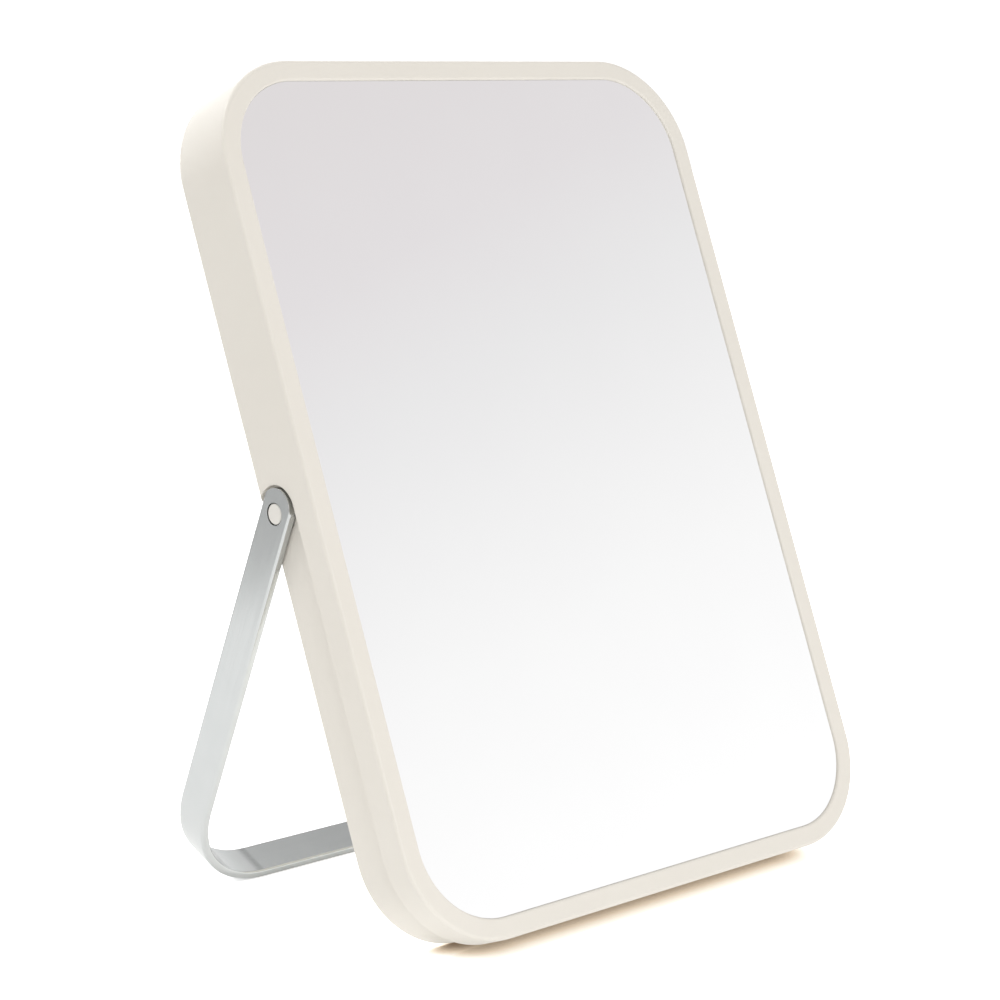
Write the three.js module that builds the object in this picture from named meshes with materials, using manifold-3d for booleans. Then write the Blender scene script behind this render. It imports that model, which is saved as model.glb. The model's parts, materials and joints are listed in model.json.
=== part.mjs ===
// Countertop mirror: a rectangular mirror in a moulded housing that leans back on a folding U-shaped strap.
//
// Millimetres, +Z up, +X to the right as seen from the front; the mirror faces -Y.
// The housing is drawn upright (front face on y = 0, lower edge on z = 0) and then leans back as one group.
// The strap is drawn hanging straight down from its pivot and then swings back until it stands on the floor.

import * as THREE from 'three';
import { mergeVertices } from 'three/addons/utils/BufferGeometryUtils.js';
import Module from 'manifold-3d';

const wasm = await Module();
wasm.setup();

// ---- Driving dimensions -----------------------------------------------------------------------------------

// housing
const WIDTH = 175;
const HEIGHT = 240;
const DEPTH = 22;
const CORNER_RADIUS = 28.4;
const LEAN_DEG = 20.45;
const FRONT_EDGE_RADIUS = 1.1;
const REAR_EDGE_RADIUS = 2;
const BORDER_WIDTH = 5.8; // front border round the glass
const WALL_BEHIND_RECESS = 1.6;

// glass and what lies behind it, from the front
const GLASS_SETBACK = 0.7;
const GLASS_THICKNESS = 3;
const FILM_THICKNESS = 0.3;
const TAPE_THICKNESS = 0.8;
const TAPE_WIDTH = 6;
const SHELF_WIDTH = 9;
const SHELF_THICKNESS = 2;
const GAP = 0.3; // kept between neighbouring pieces

// strap and the recess that it folds into
const LIP_DEPTH = 8.4; // full-width front part of the housing, in front of the recess
const RECESS_DEPTH = 2;
const RECESS_EDGE_RADIUS = 0.8; // along its rear edge
const STRAP_WIDTH = 11.4;
const STRAP_THICKNESS = 2.5;
const STRAP_EDGE_RADIUS = 0.7;
const HEAD_OFFSET = 1.4; // centre of the strap's round end, beyond the hole
const PIVOT_DEPTH = 15.9; // behind the front face
const PIVOT_HEIGHT = 121.3; // above the lower edge
const PIVOT_TO_BOTTOM = 123.1; // pivot to the outer face of the strap's cross bar

// pivot hardware
const PIN_HEAD_RADIUS = 2.75;
const PIN_SHANK_RADIUS = 1.9;
const COUNTERSINK_DEPTH = 1.4;
const WASHER_RADIUS = 5;
const WASHER_THICKNESS = 0.5;
const RING_RADIUS = 3.1;
const RING_THICKNESS = 0.6;
const RING_MOUTH = 2; // width of the opening that snaps over the pin
const GROOVE_RADIUS = 1.2;
const PIVOT_BOSS_RADIUS = 7;
const PIVOT_BOSS_WALL = 2.6; // behind the washer
const PIN_TAIL = 1; // beyond the groove

// back panel and its screws
const PANEL_THICKNESS = 1.8;
const PANEL_INSET = 0.2; // below the frame's rear rim
const RIB_THICKNESS = 1.4;
const RIB_DEPTH = 4;
const RIB_X = [-32, 32];
const RIB_Z = [70, 170];
const RIB_MARGIN = 22; // ends of the ribs, in from the housing's outside
const SCREW_INSET = 10; // boss centres, in from the housing's outside
const BOSS_RADIUS = 3.8;
const SCREW_HEAD_RADIUS = 2.9;
const SCREW_SHANK_RADIUS = 1.2;
const SCREW_HEAD_HEIGHT = 1.5;
const SCREW_LENGTH = 9;
const CROSS_LENGTH = 3;
const CROSS_WIDTH = 0.7;
const CROSS_DEPTH = 0.8;

// fineness of the curves
const ARC_STEPS = 6; // a corner gets twice as many sides
const EDGE_STEPS = 3;
const ROUND_SIDES = 28;
const SCREW_SIDES = 16;

// ---- Worked-out dimensions --------------------------------------------------------------------------------

const LEAN = THREE.MathUtils.degToRad(LEAN_DEG);
const HALF_WIDTH = WIDTH / 2;
const HALF_STRAP = STRAP_WIDTH / 2;
const OVERSHOOT = 20; // how far cutting shapes run past what they cut

const GLASS_BACK = GLASS_SETBACK + GLASS_THICKNESS;
const FILM_FRONT = GLASS_BACK + GAP;
const FILM_BACK = FILM_FRONT + FILM_THICKNESS;
const TAPE_FRONT = FILM_BACK + GAP;
const TAPE_BACK = TAPE_FRONT + TAPE_THICKNESS;
const SHELF_FRONT = TAPE_BACK + GAP;
const SHELF_BACK = SHELF_FRONT + SHELF_THICKNESS;
const PANEL_BACK = DEPTH - PANEL_INSET;
const PANEL_FRONT = PANEL_BACK - PANEL_THICKNESS;
const CAVITY_INSET = RECESS_DEPTH + WALL_BEHIND_RECESS;

const RECESS_FLOOR_X = HALF_WIDTH - RECESS_DEPTH;
const STRAP_INNER_X = RECESS_FLOOR_X + GAP;
const STRAP_OUTER_X = STRAP_INNER_X + STRAP_THICKNESS;
const STRAP_INNER_RADIUS = CORNER_RADIUS - RECESS_DEPTH + GAP;
const STRAP_OUTER_RADIUS = STRAP_INNER_RADIUS + STRAP_THICKNESS;
const RECESS_END_RADIUS = PIVOT_DEPTH - LIP_DEPTH;
const WASHER_OUTER_X = STRAP_INNER_X - GAP;
const WASHER_INNER_X = WASHER_OUTER_X - WASHER_THICKNESS;
const WASHER_SEAT_X = WASHER_INNER_X - GAP;
const PIVOT_BOSS_X = WASHER_SEAT_X - PIVOT_BOSS_WALL;
const RING_OUTER_X = PIVOT_BOSS_X - GAP;
const RING_INNER_X = RING_OUTER_X - RING_THICKNESS;
const GROOVE_INNER_X = RING_INNER_X - GAP;
const PIN_TAIL_X = GROOVE_INNER_X - PIN_TAIL;
const PIN_HEAD_X = STRAP_OUTER_X - GAP / 2;
const PIVOT_BORE_RADIUS = PIN_SHANK_RADIUS + GAP;

// ---- Solids: three.js geometry in, three.js geometry out --------------------------------------------------

function solidOf(geometry) {
  const bare = geometry.clone();
  bare.deleteAttribute('normal');
  bare.deleteAttribute('uv');
  const merged = mergeVertices(bare);
  const corners = merged.index.array;
  const triVerts = [];
  for (let i = 0; i < corners.length; i += 3) {
    const [a, b, c] = corners.slice(i, i + 3);
    if (a !== b && b !== c && c !== a) triVerts.push(a, b, c);
  }
  return new wasm.Manifold(new wasm.Mesh({
    numProp: 3,
    vertProperties: Float32Array.from(merged.attributes.position.array),
    triVerts: Uint32Array.from(triVerts),
  }));
}

function geometryOf(solid) {
  const { vertProperties, triVerts } = solid.getMesh();
  const geometry = new THREE.BufferGeometry();
  geometry.setAttribute('position', new THREE.BufferAttribute(vertProperties, 3));
  geometry.setIndex(new THREE.BufferAttribute(triVerts, 1));
  geometry.computeVertexNormals();
  return geometry;
}

function cutAll(solid, cutters) {
  return cutters.reduce((rest, cutter) => rest.subtract(cutter), solid);
}

function addAll(solid, additions) {
  return additions.reduce((whole, addition) => whole.add(addition), solid);
}

// A shape drawn as (x, z), from depth y0 to depth y1, with round edges of the given radius at both ends.
function alongY(shape, y0, y1, edgeRadius = 0) {
  const geometry = new THREE.ExtrudeGeometry(shape, {
    depth: y1 - y0 - 2 * edgeRadius,
    curveSegments: ARC_STEPS,
    bevelEnabled: edgeRadius > 0,
    bevelThickness: edgeRadius,
    bevelSize: edgeRadius,
    bevelOffset: -edgeRadius,
    bevelSegments: EDGE_STEPS,
  });
  return solidOf(geometry.rotateX(Math.PI / 2).translate(0, y1 - edgeRadius, 0));
}

// A shape drawn as (y, z), from x0 to x1.
function alongX(shape, x0, x1) {
  const toSide = new THREE.Matrix4().makeBasis(
    new THREE.Vector3(0, 1, 0),
    new THREE.Vector3(0, 0, 1),
    new THREE.Vector3(1, 0, 0),
  );
  const options = { depth: x1 - x0, curveSegments: ARC_STEPS, bevelEnabled: false };
  const geometry = new THREE.ExtrudeGeometry(shape, options);
  return solidOf(geometry.applyMatrix4(toSide).translate(x0, 0, 0));
}

function box(x0, x1, y0, y1, z0, z1) {
  const geometry = new THREE.BoxGeometry(x1 - x0, y1 - y0, z1 - z0);
  return solidOf(geometry.translate((x0 + x1) / 2, (y0 + y1) / 2, (z0 + z1) / 2));
}

function rodAlongY(radius, y0, y1, x, z, sides = SCREW_SIDES) {
  const geometry = new THREE.CylinderGeometry(radius, radius, y1 - y0, sides);
  return solidOf(geometry.translate(x, (y0 + y1) / 2, z));
}

// A turned piece on the pivot's axis, from [distance out from the middle, radius] pairs that run outwards.
function turnedOnPivot(side, profile) {
  const points = profile.map(([out, radius]) => new THREE.Vector2(radius, out));
  const first = new THREE.Vector2(0, profile[0][0]);
  const last = new THREE.Vector2(0, profile[profile.length - 1][0]);
  const geometry = new THREE.LatheGeometry([first, ...points, last], ROUND_SIDES);
  return solidOf(geometry.rotateZ(-side * Math.PI / 2));
}

function rodOnPivot(side, radius, x0, x1) {
  return turnedOnPivot(side, [[x0, radius], [x1, radius]]);
}

function atPivot(solid) {
  return solid.translate([0, PIVOT_DEPTH, PIVOT_HEIGHT]);
}

// ---- Outlines ---------------------------------------------------------------------------------------------

// The housing's outline, moved in by inset all round.
function outline(inset) {
  const x = HALF_WIDTH - inset;
  const radius = CORNER_RADIUS - inset;
  const cornerX = x - radius;
  const lowZ = inset + radius;
  const highZ = HEIGHT - inset - radius;
  const shape = new THREE.Shape();
  shape.absarc(cornerX, lowZ, radius, -Math.PI / 2, 0);
  shape.absarc(cornerX, highZ, radius, 0, Math.PI / 2);
  shape.absarc(-cornerX, highZ, radius, Math.PI / 2, Math.PI);
  shape.absarc(-cornerX, lowZ, radius, Math.PI, 1.5 * Math.PI);
  shape.closePath();
  return shape;
}

// Side view (y, z) of the space that the strap folds into: it ends in an arc round the pivot.
function recessSideView() {
  const back = DEPTH + OVERSHOOT;
  const arcEnd = Math.acos((DEPTH - PIVOT_DEPTH) / RECESS_END_RADIUS);
  const endZ = PIVOT_HEIGHT + RECESS_END_RADIUS * Math.sin(arcEnd);
  const shape = new THREE.Shape();
  shape.moveTo(back, -OVERSHOOT);
  shape.lineTo(back, endZ);
  shape.absarc(PIVOT_DEPTH, PIVOT_HEIGHT, RECESS_END_RADIUS, arcEnd, Math.PI);
  shape.lineTo(LIP_DEPTH, -OVERSHOOT);
  shape.closePath();
  return shape;
}

// Front view (x, z) of the strap with its pivot at z = 0.
function strapFrontView() {
  const top = OVERSHOOT;
  const cornerX = STRAP_INNER_X - STRAP_INNER_RADIUS;
  const cornerZ = STRAP_OUTER_RADIUS - PIVOT_TO_BOTTOM;
  const shape = new THREE.Shape();
  shape.moveTo(-STRAP_OUTER_X, top);
  shape.absarc(-cornerX, cornerZ, STRAP_OUTER_RADIUS, Math.PI, 1.5 * Math.PI);
  shape.absarc(cornerX, cornerZ, STRAP_OUTER_RADIUS, -Math.PI / 2, 0);
  shape.lineTo(STRAP_OUTER_X, top);
  shape.lineTo(STRAP_INNER_X, top);
  shape.absarc(cornerX, cornerZ, STRAP_INNER_RADIUS, 0, -Math.PI / 2, true);
  shape.absarc(-cornerX, cornerZ, STRAP_INNER_RADIUS, -Math.PI / 2, -Math.PI, true);
  shape.lineTo(-STRAP_INNER_X, top);
  shape.closePath();
  return shape;
}

// Side view (y, z) of the strap: straight sides and a round upper end.
function strapSideView() {
  const low = -PIVOT_TO_BOTTOM - OVERSHOOT;
  const shape = new THREE.Shape();
  shape.moveTo(-HALF_STRAP, low);
  shape.lineTo(HALF_STRAP, low);
  shape.absarc(0, HEAD_OFFSET, HALF_STRAP, 0, Math.PI);
  shape.closePath();
  return shape;
}

// Centres (x, z) of the six screws: one in each corner, one at the top and one at the bottom.
function screwPlaces() {
  const reach = (CORNER_RADIUS - SCREW_INSET) * Math.SQRT1_2;
  const x = HALF_WIDTH - CORNER_RADIUS + reach;
  const z = CORNER_RADIUS - reach;
  return [
    [-x, z], [0, SCREW_INSET], [x, z],
    [-x, HEIGHT - z], [0, HEIGHT - SCREW_INSET], [x, HEIGHT - z],
  ];
}

// ---- Housing ----------------------------------------------------------------------------------------------

// The full outside, with a smaller edge radius in front than behind.
function housingOutside() {
  const frontRounded = alongY(outline(0), 0, DEPTH + OVERSHOOT, FRONT_EDGE_RADIUS);
  const rearRounded = alongY(outline(0), -OVERSHOOT, DEPTH, REAR_EDGE_RADIUS);
  return frontRounded.intersect(rearRounded);
}

function strapRecess() {
  const reach = HALF_WIDTH + OVERSHOOT;
  const kept = alongY(outline(RECESS_DEPTH), -OVERSHOOT, DEPTH, RECESS_EDGE_RADIUS);
  return alongX(recessSideView(), -reach, reach).subtract(kept);
}

function frame() {
  const bosses = screwPlaces().map(([x, z]) => (
    rodAlongY(BOSS_RADIUS, SHELF_BACK - GAP, PANEL_FRONT - GAP, x, z)
  ));
  const inFrontOfPanel = box(
    -WIDTH, WIDTH, SHELF_BACK - GAP, PANEL_FRONT - GAP, -OVERSHOOT, HEIGHT + OVERSHOOT,
  );
  const pivotBosses = [-1, 1].map((side) => (
    atPivot(rodOnPivot(side, PIVOT_BOSS_RADIUS, PIVOT_BOSS_X, RECESS_FLOOR_X - GAP)).intersect(inFrontOfPanel)
  ));
  const shell = cutAll(housingOutside(), [
    strapRecess(),
    alongY(outline(BORDER_WIDTH), -OVERSHOOT, SHELF_FRONT),
    alongY(outline(BORDER_WIDTH + SHELF_WIDTH), -OVERSHOOT, DEPTH + OVERSHOOT),
    alongY(outline(CAVITY_INSET), SHELF_BACK, DEPTH + OVERSHOOT),
  ]);
  const pilotHoles = screwPlaces().map(([x, z]) => (
    rodAlongY(SCREW_SHANK_RADIUS + GAP, SHELF_BACK + SHELF_THICKNESS, DEPTH, x, z)
  ));
  const pivotHoles = [-1, 1].flatMap((side) => [
    atPivot(rodOnPivot(side, PIVOT_BORE_RADIUS, PIVOT_BOSS_X - GAP, HALF_WIDTH)),
    atPivot(rodOnPivot(side, WASHER_RADIUS + GAP, WASHER_SEAT_X, HALF_WIDTH)),
  ]);
  return cutAll(addAll(shell, [...bosses, ...pivotBosses]), [...pilotHoles, ...pivotHoles]);
}

function mirrorGlass() {
  return alongY(outline(BORDER_WIDTH + GAP), GLASS_SETBACK, GLASS_BACK);
}

function safetyFilm() {
  return alongY(outline(BORDER_WIDTH + 2 * GAP), FILM_FRONT, FILM_BACK);
}

// A strip of tape on the shelf, centred on (x, z).
function tapeStrip(x, z, lengthX, lengthZ) {
  return box(x - lengthX / 2, x + lengthX / 2, TAPE_FRONT, TAPE_BACK, z - lengthZ / 2, z + lengthZ / 2);
}

function tapeStrips() {
  const inset = BORDER_WIDTH + SHELF_WIDTH / 2;
  const middle = HEIGHT / 2;
  const straightX = WIDTH - 2 * CORNER_RADIUS;
  const straightZ = HEIGHT - 2 * CORNER_RADIUS;
  return {
    tape_strip_top: tapeStrip(0, HEIGHT - inset, straightX, TAPE_WIDTH),
    tape_strip_bottom: tapeStrip(0, inset, straightX, TAPE_WIDTH),
    tape_strip_left: tapeStrip(inset - HALF_WIDTH, middle, TAPE_WIDTH, straightZ),
    tape_strip_right: tapeStrip(HALF_WIDTH - inset, middle, TAPE_WIDTH, straightZ),
  };
}

// ---- Back panel and screws --------------------------------------------------------------------------------

// A countersunk screw's outside as [y, radius] pairs from its tip to its head, widened by clearance.
function screwProfile(clearance) {
  const headBase = PANEL_BACK - SCREW_HEAD_HEIGHT;
  return [
    [PANEL_BACK - SCREW_LENGTH, SCREW_SHANK_RADIUS + clearance],
    [headBase, SCREW_SHANK_RADIUS + clearance],
    [PANEL_BACK + clearance, SCREW_HEAD_RADIUS + 2 * clearance],
  ];
}

function turnedAlongY(profile, x, z) {
  const points = profile.map(([y, radius]) => new THREE.Vector2(radius, y));
  const first = new THREE.Vector2(0, profile[0][0]);
  const last = new THREE.Vector2(0, profile[profile.length - 1][0]);
  const geometry = new THREE.LatheGeometry([first, ...points, last], SCREW_SIDES);
  return solidOf(geometry.translate(x, 0, z));
}

function panelScrew([x, z]) {
  const long = CROSS_LENGTH / 2;
  const short = CROSS_WIDTH / 2;
  const low = PANEL_BACK - CROSS_DEPTH;
  return cutAll(turnedAlongY(screwProfile(0), x, z), [
    box(x - long, x + long, low, DEPTH, z - short, z + short),
    box(x - short, x + short, low, DEPTH, z - long, z + long),
  ]);
}

function backPanel() {
  const half = RIB_THICKNESS / 2;
  const ribFront = PANEL_FRONT - RIB_DEPTH;
  const reachX = HALF_WIDTH - RIB_MARGIN;
  const upright = RIB_X.map((x) => (
    box(x - half, x + half, ribFront, PANEL_BACK - GAP, RIB_MARGIN, HEIGHT - RIB_MARGIN)
  ));
  const level = RIB_Z.map((z) => box(-reachX, reachX, ribFront, PANEL_BACK - GAP, z - half, z + half));
  const plate = alongY(outline(CAVITY_INSET + GAP), PANEL_FRONT, PANEL_BACK);
  const holes = screwPlaces().map(([x, z]) => turnedAlongY(screwProfile(GAP), x, z));
  return cutAll(addAll(plate, [...upright, ...level]), holes);
}

// ---- Strap and pivot hardware, drawn with the pivot at the origin -----------------------------------------

// A pin with a countersunk flat head and, inside the housing, a groove for its retaining ring.
function pivotPin(side) {
  return turnedOnPivot(side, [
    [PIN_TAIL_X, PIN_SHANK_RADIUS],
    [GROOVE_INNER_X, PIN_SHANK_RADIUS],
    [GROOVE_INNER_X, GROOVE_RADIUS],
    [PIVOT_BOSS_X, GROOVE_RADIUS],
    [PIVOT_BOSS_X, PIN_SHANK_RADIUS],
    [PIN_HEAD_X - COUNTERSINK_DEPTH, PIN_SHANK_RADIUS],
    [PIN_HEAD_X, PIN_HEAD_RADIUS],
  ]);
}

// The countersunk hole that leaves a gap all round the pin.
function strapHole(side) {
  return turnedOnPivot(side, [
    [PIN_TAIL_X, PIVOT_BORE_RADIUS],
    [PIN_HEAD_X - COUNTERSINK_DEPTH, PIVOT_BORE_RADIUS],
    [PIN_HEAD_X, PIN_HEAD_RADIUS + GAP],
    [PIN_HEAD_X + GAP, PIN_HEAD_RADIUS + GAP],
  ]);
}

function strap() {
  const band = alongY(strapFrontView(), -HALF_STRAP, HALF_STRAP, STRAP_EDGE_RADIUS);
  const reach = HALF_WIDTH + OVERSHOOT;
  const roundEnded = band.intersect(alongX(strapSideView(), -reach, reach));
  return cutAll(roundEnded, [-1, 1].map(strapHole));
}

function frictionWasher(side) {
  return rodOnPivot(side, WASHER_RADIUS, WASHER_INNER_X, WASHER_OUTER_X)
    .subtract(rodOnPivot(side, PIVOT_BORE_RADIUS, PIN_TAIL_X, STRAP_OUTER_X));
}

// A flat ring, open below, that snaps into the pin's groove.
function retainingRing(side) {
  const x0 = Math.min(side * GROOVE_INNER_X, side * PIVOT_BOSS_X);
  const x1 = Math.max(side * GROOVE_INNER_X, side * PIVOT_BOSS_X);
  const mouth = box(x0, x1, -RING_MOUTH / 2, RING_MOUTH / 2, -2 * RING_RADIUS, 0);
  const bore = rodOnPivot(side, GROOVE_RADIUS + GAP, GROOVE_INNER_X, PIVOT_BOSS_X);
  return cutAll(rodOnPivot(side, RING_RADIUS, RING_INNER_X, RING_OUTER_X), [bore, mouth]);
}

// ---- Materials --------------------------------------------------------------------------------------------

function material(color, roughness, metalness) {
  return () => new THREE.MeshStandardMaterial({ color, roughness, metalness });
}

const creamPlastic = material(0xe4dfd5, 0.45, 0);
const mirror = material(0xe6e8e9, 0.03, 1);
const film = material(0x8d9296, 0.6, 0);
const foamTape = material(0xf2f0ea, 0.9, 0);
const satinSteel = material(0xc2c5c6, 0.35, 1);
const zincSteel = material(0xa9adb0, 0.4, 1);
const nylon = material(0xeeece4, 0.5, 0);

// ---- Assembly ---------------------------------------------------------------------------------------------

function addPart(group, name, solid, makeMaterial) {
  const mesh = new THREE.Mesh(geometryOf(solid), makeMaterial());
  mesh.name = name;
  group.add(mesh);
}

function buildHousing() {
  const group = new THREE.Group();
  addPart(group, 'frame', frame(), creamPlastic);
  addPart(group, 'mirror_glass', mirrorGlass(), mirror);
  addPart(group, 'safety_film', safetyFilm(), film);
  for (const [name, solid] of Object.entries(tapeStrips())) addPart(group, name, solid, foamTape);
  addPart(group, 'back_panel', backPanel(), creamPlastic);
  screwPlaces().forEach((place, i) => addPart(group, `panel_screw_${i + 1}`, panelScrew(place), zincSteel));
  for (const [side, word] of [[-1, 'left'], [1, 'right']]) {
    addPart(group, `pivot_pin_${word}`, atPivot(pivotPin(side)), creamPlastic);
    addPart(group, `friction_washer_${word}`, atPivot(frictionWasher(side)), nylon);
    addPart(group, `retaining_ring_${word}`, atPivot(retainingRing(side)), zincSteel);
  }
  group.rotation.x = -LEAN;
  return group;
}

// Lowest point of the leaning housing: the round rear edge of the recessed bottom.
function housingLowestZ() {
  const edgeDepth = DEPTH - RECESS_EDGE_RADIUS;
  const edgeHeight = RECESS_DEPTH + RECESS_EDGE_RADIUS;
  return edgeHeight * Math.cos(LEAN) - edgeDepth * Math.sin(LEAN) - RECESS_EDGE_RADIUS;
}

// How far the strap swings back from straight down until its front lower edge stands on the same floor.
function standAngle(pivotAboveFloor) {
  const down = PIVOT_TO_BOTTOM - STRAP_EDGE_RADIUS;
  const forward = HALF_STRAP - STRAP_EDGE_RADIUS;
  const drop = pivotAboveFloor - STRAP_EDGE_RADIUS;
  return Math.atan2(forward, down) + Math.acos(drop / Math.hypot(down, forward));
}

function buildStand() {
  const group = new THREE.Group();
  const pivotY = PIVOT_DEPTH * Math.cos(LEAN) + PIVOT_HEIGHT * Math.sin(LEAN);
  const pivotZ = PIVOT_HEIGHT * Math.cos(LEAN) - PIVOT_DEPTH * Math.sin(LEAN);
  addPart(group, 'stand_strap', strap(), satinSteel);
  group.position.set(0, pivotY, pivotZ);
  group.rotation.x = standAngle(pivotZ - housingLowestZ());
  return group;
}

// The origin is on the floor, in the middle of the mirror's outer size.
const model = new THREE.Group();
model.add(buildHousing(), buildStand());
model.updateMatrixWorld(true);
const size = new THREE.Box3().setFromObject(model, true);
model.position.set(0, -(size.min.y + size.max.y) / 2, -size.min.z);

export default model;
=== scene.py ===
"""Looks of the countertop mirror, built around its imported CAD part.

Pieces are drawn in millimetres. Those of the housing are drawn upright, with the front face on
y = 0 and the lower edge on z = 0, and then leant back. The strap is drawn hanging from its pivot and
then swung back.
"""

import json
import math

import bmesh
import bpy
from mathutils import Matrix, Vector


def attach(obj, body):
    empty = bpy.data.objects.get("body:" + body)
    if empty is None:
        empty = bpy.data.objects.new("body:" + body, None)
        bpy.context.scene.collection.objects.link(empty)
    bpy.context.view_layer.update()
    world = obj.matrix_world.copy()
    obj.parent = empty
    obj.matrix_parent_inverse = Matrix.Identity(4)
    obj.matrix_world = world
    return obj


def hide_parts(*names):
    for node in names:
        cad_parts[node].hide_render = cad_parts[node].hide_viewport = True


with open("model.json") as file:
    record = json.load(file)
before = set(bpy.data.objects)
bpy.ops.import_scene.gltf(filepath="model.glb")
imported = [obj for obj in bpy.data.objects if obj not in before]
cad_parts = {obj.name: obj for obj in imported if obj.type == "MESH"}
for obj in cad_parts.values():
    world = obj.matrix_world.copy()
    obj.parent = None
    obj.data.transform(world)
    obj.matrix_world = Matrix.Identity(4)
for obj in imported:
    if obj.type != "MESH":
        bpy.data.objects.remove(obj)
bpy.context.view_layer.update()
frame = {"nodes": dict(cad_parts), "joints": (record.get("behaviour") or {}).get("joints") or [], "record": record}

MM = 0.001

# ---- Dimensions of the CAD part, in millimetres --------------------------------------------------

# housing
WIDTH = 175
HEIGHT = 240
DEPTH = 22
CORNER_RADIUS = 28.4
FRONT_EDGE_RADIUS = 1.1
REAR_EDGE_RADIUS = 2
BORDER_WIDTH = 5.8
BORDER_EDGE_RADIUS = 0.65
WALL_BEHIND_RECESS = 1.6

# glass and the shelf behind it
GLASS_SETBACK = 0.7
GLASS_THICKNESS = 3
PANE_CLEARANCE = 0.03
SHELF_FRONT = 5.7
SHELF_BACK = 7.7
SHELF_WIDTH = 9
GAP = 0.3

# strap and the recess that it folds into
LIP_DEPTH = 8.4
RECESS_DEPTH = 2
RECESS_EDGE_RADIUS = 0.8
STRAP_WIDTH = 11.4
STRAP_THICKNESS = 2.5
STRAP_EDGE_RADIUS = 0.7
HEAD_OFFSET = 1.4
PIVOT_DEPTH = 15.9
PIVOT_HEIGHT = 121.3
PIVOT_TO_BOTTOM = 123.1

# pivot hardware
PIN_HEAD_RADIUS = 2.75
PIN_SHANK_RADIUS = 1.9
COUNTERSINK_DEPTH = 1.4
HOLE_RIM_DEPTH = 0.5
WASHER_RADIUS = 5
WASHER_THICKNESS = 0.5
GROOVE_RADIUS = 1.2
RING_THICKNESS = 0.6
PIVOT_BOSS_RADIUS = 7
PIVOT_BOSS_WALL = 2.6
PIN_TAIL = 1
PIN_TAIL_CHAMFER = 0.3
PIN_RIM = 0.18
PIN_FLAT_INSET = 1.2

# back panel and its screws
PANEL_THICKNESS = 1.8
PANEL_INSET = 0.2
RIB_THICKNESS = 1.4
RIB_DEPTH = 4
RIB_X = (-32, 32)
RIB_Z = (70, 170)
RIB_MARGIN = 22
SCREW_INSET = 10
BOSS_RADIUS = 3.8
SCREW_HEAD_RADIUS = 2.9
SCREW_SHANK_RADIUS = 1.2
SCREW_HEAD_HEIGHT = 1.5
SCREW_LENGTH = 9
CROSS_LENGTH = 3
CROSS_WIDTH = 0.7
CROSS_DEPTH = 0.8
THREAD_PITCH = 1.1
THREAD_DEPTH = 0.28
THREAD_CREST = 0.28
THREAD_SIDES = 32
THREAD_ROWS = 84
THREAD_BELOW_HEAD = 0.6
THREAD_START = 1.2
THREAD_RUN_OUT = 0.5
TIP_LENGTH = 1.0
TIP_SHARE = 0.35
SCREW_RIM = 0.12
SCREW_TURN = math.radians(47)

# fineness of the curves
CORNER_STEPS = 40
EDGE_STEPS = 5
ROUND_STEPS = 72
OVERSHOOT = 20
WELD = 0.004

# small rounding of edges that are cut
SHELL_SOFTENING = 0.15
PANEL_SOFTENING = 0.2
PANE_SOFTENING = 0.06
STRAP_SOFTENING = 0.06
SCREW_SOFTENING = 0.05

# ---- Worked-out dimensions -----------------------------------------------------------------------

HALF_WIDTH = WIDTH / 2
HALF_STRAP = STRAP_WIDTH / 2
GLASS_BACK = GLASS_SETBACK + GLASS_THICKNESS
PANEL_BACK = DEPTH - PANEL_INSET
PANEL_FRONT = PANEL_BACK - PANEL_THICKNESS
CAVITY_INSET = RECESS_DEPTH + WALL_BEHIND_RECESS
RECESS_FLOOR_X = HALF_WIDTH - RECESS_DEPTH
STRAP_INNER_X = RECESS_FLOOR_X + GAP
STRAP_OUTER_X = STRAP_INNER_X + STRAP_THICKNESS
STRAP_INNER_RADIUS = CORNER_RADIUS - RECESS_DEPTH + GAP
STRAP_OUTER_RADIUS = STRAP_INNER_RADIUS + STRAP_THICKNESS
RECESS_END_RADIUS = PIVOT_DEPTH - LIP_DEPTH
WASHER_SEAT_X = STRAP_INNER_X - 2 * GAP - WASHER_THICKNESS
PIVOT_BOSS_X = WASHER_SEAT_X - PIVOT_BOSS_WALL
GROOVE_INNER_X = PIVOT_BOSS_X - 2 * GAP - RING_THICKNESS
PIN_TAIL_X = GROOVE_INNER_X - PIN_TAIL
PIN_HEAD_X = STRAP_OUTER_X - GAP / 2
PIVOT_BORE_RADIUS = PIN_SHANK_RADIUS + GAP

back_face = next(m for m in frame["record"]["mounts"] if m["name"] == "back_face")
pivot = Vector(frame["joints"][0]["pos_m"])
lean = math.atan2(-back_face["axis"][2], back_face["axis"][1])


def stand_angle():
    """How far the strap swings back from straight down until its front lower edge stands on the floor."""
    down = PIVOT_TO_BOTTOM - STRAP_EDGE_RADIUS
    forward = HALF_STRAP - STRAP_EDGE_RADIUS
    drop = pivot.z / MM - STRAP_EDGE_RADIUS
    return math.atan2(forward, down) + math.acos(drop / math.hypot(down, forward))


at_pivot = Matrix.Translation((0, PIVOT_DEPTH, PIVOT_HEIGHT))
leant_back = (
    Matrix.Translation(pivot) @ Matrix.Rotation(-lean, 4, "X") @ Matrix.Scale(MM, 4) @ at_pivot.inverted()
)
swung_back = Matrix.Translation(pivot) @ Matrix.Rotation(stand_angle(), 4, "X") @ Matrix.Scale(MM, 4)

# ---- Mesh building -------------------------------------------------------------------------------


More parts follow.
